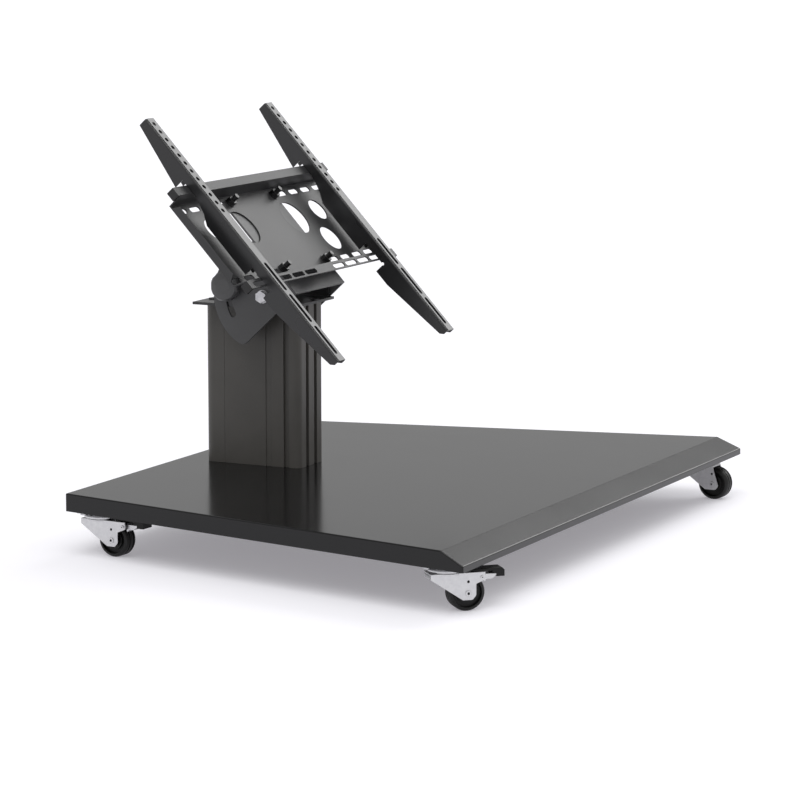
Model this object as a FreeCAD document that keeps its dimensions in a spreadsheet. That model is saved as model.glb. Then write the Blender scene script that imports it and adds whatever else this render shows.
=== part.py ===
import FreeCAD, Part
import math
import os
import Sketcher

# Mobile monitor stand. Millimetres, +Z up, the monitor faces -Y, the floor is at Z = 0.

doc = FreeCAD.newDocument("mobile_monitor_stand")
sheet = doc.addObject("Spreadsheet::Sheet", "sizes")

# Every size that can be set by itself. "Depth" on the head is measured back from the rails' front face,
# and "down" is measured along the rails from their top mounting hole, with the display upright.
SIZES = {
    # Base tray
    "tray_deep": 698, "tray_rear_wide": 732, "tray_front_wide": 1031.4, "tray_height": 90, "tray_tall": 26,
    "tray_sheet": 3, "slope_run": 36, "slope_drop": 17, "tray_round": 2, "tray_middle": 8.4,
    # Channels inside the tray
    "rib_height": 64.5, "rib_sheet": 3, "rib_wide": 76, "rib_lip": 8, "rib_end_gap": 4,
    # Column, its backing plate and its screws
    "column_wide": 80, "column_deep": 160, "column_tall": 242, "column_front": 142, "column_round": 10,
    "column_rear_round": 14, "slot_half_gap": 8.5, "slot_wide": 9, "slot_deep": 8, "deep_groove_start": 17,
    "deep_groove_wide": 9, "deep_groove_deep": 4, "shallow_groove_start": 46, "shallow_groove_wide": 10,
    "shallow_groove_deep": 1.2, "seam_start": 125, "seam_wide": 1, "seam_deep": 0.3, "hollow_wall": 4,
    "hollow_start": 13, "hollow_narrow": 56, "hollow_web": 4, "rear_hollow_wide": 52, "front_port_apart": 50,
    "front_port_back": 7.5, "rear_port_apart": 64, "rear_port_back": 149, "screw_round": 4,
    "screw_grip": 22, "screw_head_round": 6.5, "screw_head_tall": 5, "low_head_tall": 1.6,
    "hole_clearance": 0.3,
    "backing_wide": 160, "backing_deep": 200, "backing_thick": 5,
    # Top bracket
    "bracket_wide": 150, "bracket_plate": 4, "bracket_sheet": 3, "ear_start": 8, "ear_long": 115,
    "ear_tall": 48, "ear_round": 15,
    # Tilt axis and its fasteners
    "pivot_back": 39, "pivot_up": 14.6, "pivot_round": 5, "running_gap": 0.05, "side_gap": 0.3,
    "pivot_head_flats": 16, "pivot_head_tall": 6.4, "pivot_washer_round": 10, "washer_thick": 2,
    "pivot_nut_tall": 8, "washer_gap": 0.1, "rest_tilt": 43, "most_tilt": 45,
    # Clamping bolts and knobs
    "lock_radius": 58, "lock_angle": 13.5, "lock_round": 4, "lock_slot_wide": 10, "lock_head_round": 9,
    "lock_head_tall": 4, "lock_washer_round": 10, "knob_round": 22.5, "knob_hub_round": 11,
    "knob_hub_long": 5, "knob_thick": 14, "knob_dome": 5, "knob_rim": 3, "flute_round": 12,
    "flute_bite": 1.3, "knob_end_wall": 4, "dome_share": 0.33,
    # Tilt bracket
    "head_face": 86.6, "plate_depth": 39, "tilt_sheet": 3, "tilt_below": 32.5, "tilt_above": 150,
    "tilt_reach": 82.5, "tilt_tip_round": 12,
    # Wall plate
    "plate_sheet": 2, "bar_long": 456, "bar_depth": 15.3, "bar_face": 15, "bar_down": 103,
    "upper_web_run": 1, "lower_web_run": 10, "lower_bar_down": 278, "top_hole_up": 270.8,
    "side_wall_depth": 29, "side_wall_start": 122, "side_wall_end": 262, "side_wall_slope": 6,
    "big_hole_round": 30, "big_hole_out": 79, "big_hole_up": 94, "side_hole_round": 19,
    "side_hole_out": 163, "side_hole_up": 100.5, "low_hole_round": 22, "low_hole_out": 136,
    "low_hole_up": 46.8, "plate_slot_long": 28, "plate_slot_wide": 9, "plate_slot_pitch": 38.5,
    "plate_slot_out": 95, "upper_slot_up": 140, "lower_slot_up": 9.5, "bar_slot_long": 35,
    "bar_slot_wide": 8, "bar_slot_pitch": 40, "bar_slot_out": 45, "bar_slot_down": 286.5,
    "cap_long": 6, "cap_thick": 13, "cap_tall": 14.5,
    # Bolts through the wall plate
    "plate_bolt_out": 67.5, "upper_bolt_up": 139.5, "lower_bolt_up": 11.5, "plate_bolt_round": 4,
    "bolt_head_flats": 13, "bolt_head_tall": 5.3, "bolt_stick_out": 17, "bolt_washer_round": 8,
    "bolt_washer_thick": 1.6, "bolt_nut_tall": 6.5,
    # Monitor rails
    "rail_out": 182, "rail_wide": 24, "rail_sheet": 2, "rail_round": 2.5, "rail_above": 11,
    "rail_end_depth": 14,
    "hook_down": 93.5, "hook_depth": 31, "notch_depth": 15, "notch_end": 123, "knee_one_down": 138,
    "knee_one_depth": 18, "knee_two_down": 152, "knee_two_depth": 22, "belly_start": 168,
    "belly_depth": 30, "low_notch_start": 260, "low_notch_end": 303, "tail_start": 330, "tail_down": 442,
    "tail_depth": 13.6, "rail_bottom": 447, "tail_nose": 8.6, "relief_round": 2.5, "rail_hole_round": 3.5,
    "rail_hole_pitch": 15, "rail_slot_first": 264, "rail_slot_long": 52, "rail_slot_pitch": 59.3,
    "rail_slot_wide": 7, "rail_seam_wide": 2, "rail_seam_deep": 1.4,
    # Casters
    "wheel_round": 25, "tyre_thick": 5, "tyre_wide": 24, "tyre_corner": 4, "corner_share": 0.33,
    "groove_wide": 3, "groove_out": 4.5, "groove_bite": 2.5, "hub_wide": 27.4, "hub_round": 6,
    "web_wide": 14, "disc_round": 14.5, "disc_wide": 21, "trail": 26, "axle_round": 3, "fork_gap": 28,
    "fork_sheet": 2, "fork_height": 53, "crown_round": 21, "fork_front": 26, "fork_shoulder": 7.5,
    "fork_rear": 49.5, "nose_below": 9, "nose_front": 18.6, "nose_rear": 32, "nose_out": 37,
    "nose_out_up": 22, "throat_up": 37.5, "jaw_up": 42.5, "plain_nose_front": 15, "plain_rear": 27,
    "fork_round": 4, "dimple_up": 16, "dimple_round": 1.8, "race_round": 26, "race_neck": 19,
    "race_foot": 1.8, "race_ring": 4, "race_bore": 9, "race_edge": 1.2, "caster_plate_side": 56,
    "caster_plate_thick": 2.5, "caster_plate_round": 5, "caster_hole_pitch": 38, "caster_screw_round": 3,
    "caster_head_round": 5.2, "caster_head_tall": 3, "caster_nut_flats": 10, "caster_nut_tall": 5,
    "kingpin_round": 5, "kingpin_head_round": 8.5, "kingpin_head_tall": 1.8, "rivet_round": 4.2,
    "rivet_tall": 1.2, "axle_bore": 1.8,
    # Brakes
    "brake_pin_round": 1.6, "brake_pin_out": 45.5, "brake_pin_up": 46, "brake_rivet_round": 2.6,
    "brake_pin_bore": 0.8,
    "lever_wide": 20, "lever_boss_round": 3, "lever_sheet": 2, "lever_height": 49, "lever_end": 67,
    "lever_room_start": 28, "lever_room_wide": 25, "pad_out": 49, "pad_up": 39, "pad_root_up": 44,
    "lever_knee_out": 53, "lever_knee_up": 42, "lever_heel_out": 61, "strip_start": 31, "strip_low": 53.2,
    "cap_start": 62, "cap_end": 78, "cap_wide": 22, "cap_height": 56.5, "cap_slope": 3, "cap_foot": 45,
    "cap_round": 1.2,
    "front_caster_inset": 40.4, "front_caster_back": 48, "rear_caster_inset": 39.2, "rear_caster_front": 43,
    "front_left_heading": -47.4, "front_right_heading": -92, "rear_left_heading": -94,
    "rear_right_heading": -103,
}
for row, (alias, size) in enumerate(SIZES.items(), start=1):
    sheet.set("A%d" % row, alias.replace("_", " "))
    sheet.set("B%d" % row, str(size))
    sheet.setAlias("B%d" % row, alias)
doc.recompute()

# How many of each repeated detail there are.
KNOB_FLUTES = 8
PLATE_SLOTS = 4
BAR_SLOTS = 5
RAIL_HOLES = 12
RAIL_SLOTS = 3

# An edge lies along an axis when this much of its direction does.
STRAIGHT_SHARE = 0.99

NODES = []


def words(text):
    """Write the sheet's name before every alias in a formula."""
    parts = []
    word = ""
    for letter in text + " ":
        if letter.isalnum() or letter == "_":
            word += letter
            continue
        parts.append("sizes." + word if word in SIZES else word)
        parts.append(letter)
        word = ""
    return "".join(parts).strip()


def amount(formula):
    """The formula's value now, as a plain number."""
    found = sheet.evalExpression(words(formula))
    return float(getattr(found, "Value", found))


def bind(item, formulas):
    for path, formula in formulas.items():
        item.setExpression(path, words(formula))


def put(item, x="0", y="0", z="0", axis=(0, 0, 1), angle="0"):
    """Place an object from formulas: where its origin goes, and one turn about an axis."""
    turn = FreeCAD.Rotation(FreeCAD.Vector(*axis), amount(angle) or 1)
    item.Placement = FreeCAD.Placement(FreeCAD.Vector(), turn)
    bind(item, {"Placement.Base.x": x, "Placement.Base.y": y, "Placement.Base.z": z,
                "Placement.Rotation.Angle": angle})
    return item


def node(item, name):
    item.Label = name
    NODES.append(item)
    return item


def new_body(name):
    return doc.addObject("PartDesign::Body", name)


def new_sketch(body, role, lift="0"):
    """A sketch on one of the body's origin planes, lifted along the plane's normal."""
    plane = next(feature for feature in body.Origin.OriginFeatures if feature.Role == role)
    sketch = body.newObject("Sketcher::SketchObject", "sketch")
    sketch.AttachmentSupport = [(plane, "")]
    sketch.MapMode = "FlatFace"
    bind(sketch, {"AttachmentOffset.Base.z": lift})
    return sketch


def pin_point(sketch, geometry, corner, x, y):
    """Fix one point of a sketch at two formulas."""
    for kind, formula, axis in (("DistanceX", x, -2), ("DistanceY", y, -1)):
        if formula == "0":
            sketch.addConstraint(Sketcher.Constraint("PointOnObject", geometry, corner, axis))
            continue
        made = sketch.addConstraint(Sketcher.Constraint(kind, -1, 1, geometry, corner, amount(formula)))
        sketch.setExpression("Constraints[%d]" % made, words(formula))


def draw_polygon(sketch, points):
    places = [FreeCAD.Vector(amount(x), amount(y), 0) for x, y in points]
    first = sketch.GeometryCount
    count = len(points)
    for index in range(count):
        sketch.addGeometry(Part.LineSegment(places[index], places[(index + 1) % count]), False)
    for index in range(count):
        following = first + (index + 1) % count
        sketch.addConstraint(Sketcher.Constraint("Coincident", first + index, 2, following, 1))
    for index, (x, y) in enumerate(points):
        pin_point(sketch, first + index, 1, x, y)


def draw_box(sketch, x_low, x_high, y_low, y_high):
    draw_polygon(sketch, [(x_low, y_low), (x_high, y_low), (x_high, y_high), (x_low, y_high)])


def draw_circle(sketch, x, y, radius):
    centre = FreeCAD.Vector(amount(x), amount(y), 0)
    made = sketch.addGeometry(Part.Circle(centre, FreeCAD.Vector(0, 0, 1), amount(radius)), False)
    limit = sketch.addConstraint(Sketcher.Constraint("Radius", made, amount(radius)))
    sketch.setExpression("Constraints[%d]" % limit, words(radius))
    pin_point(sketch, made, 3, x, y)


def draw_slot(sketch, x, y, length, width, upright=False):
    """A slot with round ends about a centre, lying along X or standing along Y."""
    half = "(%s - %s) / 2" % (length, width)
    ends = [(x, "%s + %s" % (y, half)), (x, "%s - %s" % (y, half))] if upright else \
           [("%s - %s" % (x, half), y), ("%s + %s" % (x, half), y)]
    radius = amount(width) / 2
    normal = FreeCAD.Vector(0, 0, 1)
    turn = 0 if upright else math.pi / 2
    centres = [FreeCAD.Vector(amount(a), amount(b), 0) for a, b in ends]
    arcs = [Part.ArcOfCircle(Part.Circle(centres[0], normal, radius), turn, turn + math.pi),
            Part.ArcOfCircle(Part.Circle(centres[1], normal, radius), turn + math.pi, turn + 2 * math.pi)]
    first = sketch.GeometryCount
    sketch.addGeometry([arcs[0], Part.LineSegment(arcs[0].EndPoint, arcs[1].StartPoint),
                        arcs[1], Part.LineSegment(arcs[1].EndPoint, arcs[0].StartPoint)], False)
    for index in range(4):
        sketch.addConstraint(Sketcher.Constraint("Tangent", first + index, 2, first + (index + 1) % 4, 1))
    limit = sketch.addConstraint(Sketcher.Constraint("Radius", first, radius))
    sketch.setExpression("Constraints[%d]" % limit, words("%s / 2" % width))
    pin_point(sketch, first, 3, *ends[0])
    pin_point(sketch, first + 2, 3, *ends[1])


def pad(body, sketch, length, symmetric=False, reverse=False):
    made = body.newObject("PartDesign::Pad", "pad")
    made.Profile = sketch
    made.SideType = "Symmetric" if symmetric else "One side"
    made.Reversed = reverse
    bind(made, {"Length": length})
    doc.recompute()
    return made


def pocket(body, sketch, length=None, symmetric=False, reverse=False):
    """Cut a sketch into the body and make sure that something was cut."""
    before = body.Shape.Volume
    made = body.newObject("PartDesign::Pocket", "pocket")
    made.Profile = sketch
    made.SideType = "Symmetric" if symmetric else "One side"
    made.Reversed = reverse
    if length is None:
        made.Type = "ThroughAll"
    else:
        bind(made, {"Length": length})
    doc.recompute()
    if body.Shape.Volume >= before:
        raise RuntimeError("the pocket cuts nothing in " + body.Label)
    return made


def mirror(body, features, role="YZ_Plane"):
    plane = next(feature for feature in body.Origin.OriginFeatures if feature.Role == role)
    made = body.newObject("PartDesign::Mirrored", "mirror")
    made.Originals = features
    made.MirrorPlane = (plane, [""])
    body.Tip = made
    doc.recompute()
    return made


def repeat(body, features, sketch, axis, pitch, count):
    """Repeat features along an axis of a sketch."""
    made = body.newObject("PartDesign::LinearPattern", "row")
    made.Originals = features
    made.Direction = (sketch, [axis])
    made.Occurrences = count
    bind(made, {"Length": "(%s) * %d" % (pitch, count - 1)})
    body.Tip = made
    doc.recompute()
    return made


def round_edges(body, radius, wanted):
    """Round the edges whose middle and direction pass the test."""
    names = []
    for number, edge in enumerate(body.Tip.Shape.Edges, start=1):
        middle = edge.valueAt((edge.FirstParameter + edge.LastParameter) / 2)
        along = edge.tangentAt(edge.FirstParameter) if edge.Curve.TypeId == "Part::GeomLine" else None
        if along is not None and wanted(middle, along):
            names.append("Edge%d" % number)
    if not names:
        raise RuntimeError("no edge to round in " + body.Label)
    base = body.Tip
    made = body.newObject("PartDesign::Fillet", "rounding")
    made.Base = (base, names)
    bind(made, {"Radius": radius})
    doc.recompute()
    return made


def rod(radius, length, x="0", y="0", z="0", axis=(0, 0, 1), angle="0"):
    made = doc.addObject("Part::Cylinder", "rod")
    bind(made, {"Radius": radius, "Height": length})
    return put(made, x, y, z, axis, angle)


def hexagon(flats, length, x="0", y="0", z="0", axis=(0, 0, 1), angle="0"):
    made = doc.addObject("Part::Prism", "hexagon")
    made.Polygon = 6
    bind(made, {"Circumradius": "(%s) / 2 / cos(30)" % flats, "Height": length})
    return put(made, x, y, z, axis, angle)


def fuse(items):
    made = doc.addObject("Part::MultiFuse", "joined")
    made.Shapes = items
    return made


def cut(base, tool):
    made = doc.addObject("Part::Cut", "bored")
    made.Base = base
    made.Tool = tool
    return made


def group(items):
    """Identical pieces that share one node as separate solids."""
    made = doc.addObject("Part::Compound", "group")
    made.Links = items
    return made


# Heights and places that several pieces share.
COLUMN_TOP = "tray_height + column_tall"
BRACKET_TOP = COLUMN_TOP + " + bracket_plate"
COLUMN_Y = "tray_middle + column_front"
PIVOT_Y = COLUMN_Y + " + pivot_back"
PIVOT_Z = BRACKET_TOP + " + pivot_up"
TRAY_UNDER = "tray_height - tray_sheet"
PORTS = [(sign + back[0], COLUMN_Y + " + " + back[1])
         for back in (("front_port_apart / 2", "front_port_back"), ("rear_port_apart / 2", "rear_port_back"))
         for sign in ("-", "")]
TILT_SIDE = "bracket_wide / 2 + side_gap + tilt_sheet"


def tray_half(y, inset="0"):
    """Half the tray's width at a place along its depth, less an inset square to the side wall."""
    lean = "(tray_front_wide - tray_rear_wide) / 2 / tray_deep"
    outside = "tray_rear_wide / 2 + (tray_deep / 2 - (%s)) * %s" % (y, lean)
    return "(%s - (%s) / cos(atan(%s)))" % (outside, inset, lean)


# Where the casters' swivel axes stand, from the middle of the tray.
FRONT_CASTER_Y = "-(tray_deep / 2 - front_caster_back)"
REAR_CASTER_Y = "(tray_deep / 2 - rear_caster_front)"
FRONT_CASTER_X = "(%s - front_caster_inset)" % tray_half(FRONT_CASTER_Y)
REAR_CASTER_X = "(%s - rear_caster_inset)" % tray_half(REAR_CASTER_Y)


def tray_solid(name, inset):
    """The tray's outer solid, or the hollow below its sheet."""
    body = new_body(name)
    front = "(-tray_deep / 2 + (%s))" % inset
    rear = "(tray_deep / 2 - (%s))" % inset
    low = "-tray_tall" if inset == "0" else "-tray_tall * 2"
    top = "-(%s)" % inset
    plan = new_sketch(body, "XY_Plane", low)
    draw_polygon(plan, [("-" + tray_half(front, inset), front), (tray_half(front, inset), front),
                        (tray_half(rear, inset), rear), ("-" + tray_half(rear, inset), rear)])
    pad(body, plan, "(%s) - (%s)" % (top, low))
    slope = "slope_drop / slope_run"
    crease = "(-tray_deep / 2 + slope_run + (%s) * tan(atan(%s) / 2))" % (inset, slope)
    wedge = new_sketch(body, "YZ_Plane")
    over = "(%s + tray_sheet)" % top
    ahead = "(-tray_deep / 2 - tray_sheet)"
    line_ahead = "(%s - (%s - %s) * %s)" % (top, crease, ahead, slope)
    line_over = "(%s + tray_sheet / (%s))" % (crease, slope)
    draw_polygon(wedge, [(ahead, line_ahead), (line_over, over), (ahead, over)])
    pocket(body, wedge, symmetric=True)
    return body


def make_tray():
    outer = tray_solid("tray_outside", "0")
    rim = amount("tray_sheet / 2 - tray_tall")
    round_edges(outer, "tray_round", lambda middle, along: middle.z > rim)
    hollow = tray_solid("tray_hollow", "tray_sheet")
    holes = [rod("screw_round + hole_clearance", "tray_tall * 2", x, y + " - tray_middle", "-tray_tall")
             for x, y in PORTS]
    tray = cut(outer, fuse([hollow] + holes))
    put(tray, y="tray_middle", z="tray_height")
    node(tray, "base_tray")


def make_rib(name, centre, out):
    """A folded channel: a flat bottom, a rear wall up to the tray's top and a short front lip."""
    body = new_body(name)
    section = new_sketch(body, "YZ_Plane")
    edge = "rib_wide / 2"
    inner = "rib_wide / 2 - rib_sheet"
    tall = TRAY_UNDER + " - rib_height"
    draw_polygon(section, [("-" + edge, "0"), (edge, "0"), (edge, tall), (inner, tall), (inner, "rib_sheet"),
                           ("-(%s)" % inner, "rib_sheet"), ("-(%s)" % inner, "rib_lip"),
                           ("-" + edge, "rib_lip")])
    long = "(%s - rib_end_gap) * 2" % tray_half(centre + " + " + edge, "tray_sheet")
    pad(body, section, long, symmetric=True)
    holes = new_sketch(body, "XY_Plane")
    for sign in ("-", ""):
        for across in ("-", "+"):
            for along in ("-", ""):
                draw_circle(holes, "%s(%s) %s caster_hole_pitch / 2" % (sign, out, across),
                            along + "caster_hole_pitch / 2", "caster_screw_round + hole_clearance")
    pocket(body, holes, "rib_sheet", reverse=True)
    put(body, y="tray_middle + " + centre, z="rib_height")
    node(body, name)


def make_backing_plate():
    body = new_body("column_backing_plate")
    plan = new_sketch(body, "XY_Plane")
    draw_box(plan, "-backing_wide / 2", "backing_wide / 2", "-backing_deep / 2", "backing_deep / 2")
    middle = "column_deep / 2"
    for x, y in PORTS:
        draw_circle(plan, x, "%s - (%s) - %s" % (y, COLUMN_Y, middle), "screw_round + hole_clearance")
    pad(body, plan, "backing_thick")
    put(body, y=COLUMN_Y + " + " + middle, z=TRAY_UNDER + " - backing_thick")
    node(body, "column_backing_plate")


def make_column():
    body = new_body("column")
    half = "column_wide / 2"
    sides = [("slot_half_gap", "0"), ("slot_half_gap", "slot_deep"),
             ("slot_half_gap + slot_wide", "slot_deep"), ("slot_half_gap + slot_wide", "0"), (half, "0")]
    for start, wide, deep in (("deep_groove_start", "deep_groove_wide", "deep_groove_deep"),
                              ("shallow_groove_start", "shallow_groove_wide", "shallow_groove_deep"),
                              ("seam_start", "seam_wide", "seam_deep")):
        end = start + " + " + wide
        bottom = half + " - " + deep
        sides += [(half, start), (bottom, start), (bottom, end), (half, end)]
    sides.append((half, "column_deep"))
    outline = sides + [("-(%s)" % x, y) for x, y in reversed(sides)]
    plan = new_sketch(body, "XY_Plane")
    draw_polygon(plan, outline)
    pad(body, plan, "column_tall")
    reach = amount("(column_wide - seam_wide) / 2")
    near = amount("column_round")
    far = amount("column_deep - column_rear_round")

    def corner(middle, along):
        return abs(along.z) > STRAIGHT_SHARE and abs(middle.x) > reach

    round_edges(body, "column_round", lambda middle, along: corner(middle, along) and middle.y < near)
    round_edges(body, "column_rear_round", lambda middle, along: corner(middle, along) and middle.y > far)
    hollow = new_sketch(body, "XY_Plane")
    middle_start = "shallow_groove_start + shallow_groove_wide + hollow_wall"
    rear_start = "seam_start + seam_wide + hollow_web"
    wide = "column_wide / 2 - hollow_wall"
    front_end = middle_start + " - hollow_web"
    draw_box(hollow, "-hollow_narrow / 2", "hollow_narrow / 2", "hollow_start", front_end)
    draw_box(hollow, "-(%s)" % wide, wide, middle_start, "seam_start - hollow_wall")
    draw_box(hollow, "-rear_hollow_wide / 2", "rear_hollow_wide / 2", rear_start,
             "column_deep - hollow_wall")
    for x, y in PORTS:
        draw_circle(hollow, x, y + " - (%s)" % COLUMN_Y, "screw_round")
    pocket(body, hollow, reverse=True)
    put(body, y=COLUMN_Y, z="tray_height")
    node(body, "column")


def make_column_screws():
    foot_start = TRAY_UNDER + " - backing_thick"
    foot = [fuse([rod("screw_round", "backing_thick + tray_sheet + screw_grip", x, y, foot_start),
                  rod("screw_head_round", "screw_head_tall", x, y, foot_start + " - screw_head_tall")])
            for x, y in PORTS]
    node(group(foot), "foot_screws")
    head = [fuse([rod("screw_round", "bracket_plate + screw_grip", x, y, COLUMN_TOP + " - screw_grip"),
                  rod("screw_head_round", "low_head_tall", x, y, BRACKET_TOP)])
            for x, y in PORTS]
    node(group(head), "head_screws")


def make_top_bracket():
    body = new_body("top_bracket")
    plan = new_sketch(body, "XY_Plane")
    draw_box(plan, "-bracket_wide / 2", "bracket_wide / 2", "0", "column_deep")
    for x, y in PORTS:
        draw_circle(plan, x, y + " - (%s)" % COLUMN_Y, "screw_round + hole_clearance")
    pad(body, plan, "bracket_plate")
    ear = new_sketch(body, "YZ_Plane", "bracket_wide / 2 - bracket_sheet")
    draw_box(ear, "ear_start", "ear_start + ear_long", "0", "ear_tall")
    raised = pad(body, ear, "bracket_sheet")
    mirror(body, [raised])
    tall = amount("ear_tall - bracket_sheet")
    round_edges(body, "ear_round", lambda middle, along: abs(along.x) > STRAIGHT_SHARE and middle.z > tall)
    holes = new_sketch(body, "YZ_Plane")
    draw_circle(holes, "pivot_back", "bracket_plate + pivot_up", "pivot_round + hole_clearance")
    draw_circle(holes, "pivot_back + lock_radius * cos(lock_angle)",
                "bracket_plate + pivot_up + lock_radius * sin(lock_angle)", "lock_round + hole_clearance")
    pocket(body, holes, symmetric=True)
    put(body, y=COLUMN_Y, z=COLUMN_TOP)
    node(body, "top_bracket")


def both_sides(make):
    """Two mirror-image fasteners that lie along X, made by a function of the side's sign and turn."""
    return group([make("", "90"), make("-", "-90")])


def make_pivot_fasteners():
    outside = TILT_SIDE + " + washer_gap"
    inside = "bracket_wide / 2 - bracket_sheet"
    axis = (0, 1, 0)

    def bolt(sign, turn):
        start = inside + " - pivot_nut_tall"
        grip = "(%s) + washer_thick - (%s)" % (outside, start)
        shank = rod("pivot_round", grip, "%s(%s)" % (sign, start), PIVOT_Y, PIVOT_Z, axis, turn)
        head = hexagon("pivot_head_flats", "pivot_head_tall",
                       "%s(%s + washer_thick)" % (sign, outside), PIVOT_Y, PIVOT_Z, axis, turn)
        return fuse([shank, head])

    def washer(sign, turn):
        start = "%s(%s)" % (sign, outside)
        return cut(rod("pivot_washer_round", "washer_thick", start, PIVOT_Y, PIVOT_Z, axis, turn),
                   rod("pivot_round + hole_clearance", "washer_thick", start, PIVOT_Y, PIVOT_Z, axis, turn))

    def nut(sign, turn):
        start = "%s(%s - pivot_nut_tall)" % (sign, inside)
        return cut(hexagon("pivot_head_flats", "pivot_nut_tall", start, PIVOT_Y, PIVOT_Z, axis, turn),
                   rod("pivot_round", "pivot_nut_tall", start, PIVOT_Y, PIVOT_Z, axis, turn))

    node(both_sides(bolt), "pivot_bolts")
    node(both_sides(washer), "pivot_washers")
    node(both_sides(nut), "pivot_nuts")


LOCK_Y = PIVOT_Y + " + lock_radius * cos(lock_angle)"
LOCK_Z = PIVOT_Z + " + lock_radius * sin(lock_angle)"
KNOB_X = TILT_SIDE + " + washer_gap + washer_thick + washer_gap"


def make_lock_fasteners():
    inside = "bracket_wide / 2 - bracket_sheet"
    outside = TILT_SIDE + " + washer_gap"
    axis = (0, 1, 0)

    def bolt(sign, turn):
        end = KNOB_X + " + knob_hub_long + knob_thick - knob_end_wall * 2"
        shank = rod("lock_round", "%s - (%s)" % (end, inside), "%s(%s)" % (sign, inside),
                    LOCK_Y, LOCK_Z, axis, turn)
        head = rod("lock_head_round", "lock_head_tall", "%s(%s - lock_head_tall)" % (sign, inside),
                   LOCK_Y, LOCK_Z, axis, turn)
        return fuse([shank, head])

    def washer(sign, turn):
        start = "%s(%s)" % (sign, outside)
        return cut(rod("lock_washer_round", "washer_thick", start, LOCK_Y, LOCK_Z, axis, turn),
                   rod("lock_round + hole_clearance", "washer_thick", start, LOCK_Y, LOCK_Z, axis, turn))

    node(both_sides(bolt), "lock_bolts")
    node(both_sides(washer), "lock_washers")


def make_knob(name, sign, turn):
    """A domed clamping knob with shallow flutes, turned about the bolt's axis."""
    body = new_body(name)
    profile = new_sketch(body, "XZ_Plane")
    full = "knob_hub_long + knob_thick"
    bore = "lock_round + running_gap"
    floor_z = full + " - knob_end_wall"
    draw_polygon(profile, [(bore, "0"), ("knob_hub_round", "0"), ("knob_hub_round", "knob_hub_long"),
                           ("knob_round - knob_rim / 2", "knob_hub_long"),
                           ("knob_round", "knob_hub_long + knob_rim / 2"),
                           ("knob_round", full + " - knob_dome"),
                           ("knob_round - knob_rim", full + " - knob_dome * dome_share"),
                           ("knob_round / 2", full), ("0", full), ("0", floor_z), (bore, floor_z)])
    turned = body.newObject("PartDesign::Revolution", "turning")
    turned.Profile = profile
    turned.ReferenceAxis = (profile, ["V_Axis"])
    turned.Angle = 360
    doc.recompute()
    flute = new_sketch(body, "XY_Plane")
    draw_circle(flute, "knob_round + flute_round - flute_bite", "0", "flute_round")
    bite = pocket(body, flute, reverse=True)
    around = body.newObject("PartDesign::PolarPattern", "flutes")
    around.Originals = [bite]
    around.Axis = (flute, ["N_Axis"])
    around.Angle = 360
    around.Occurrences = KNOB_FLUTES
    body.Tip = around
    doc.recompute()
    put(body, "%s(%s)" % (sign, KNOB_X), LOCK_Y, LOCK_Z, (0, 1, 0), turn)
    node(body, name)


def head(item, name):
    """Hang a piece of the head on the tilt axis, leaning back by the rest angle."""
    put(item, "0", PIVOT_Y, PIVOT_Z, (-1, 0, 0), "rest_tilt")
    return node(item, name)


def depth(formula):
    """Back from the rails' front face, as a place along Y from the tilt axis."""
    return "(%s) - head_face" % formula


def down(formula):
    """Down from the rails' top hole, as a height above the tilt axis."""
    return "top_hole_up - (%s)" % formula


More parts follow.
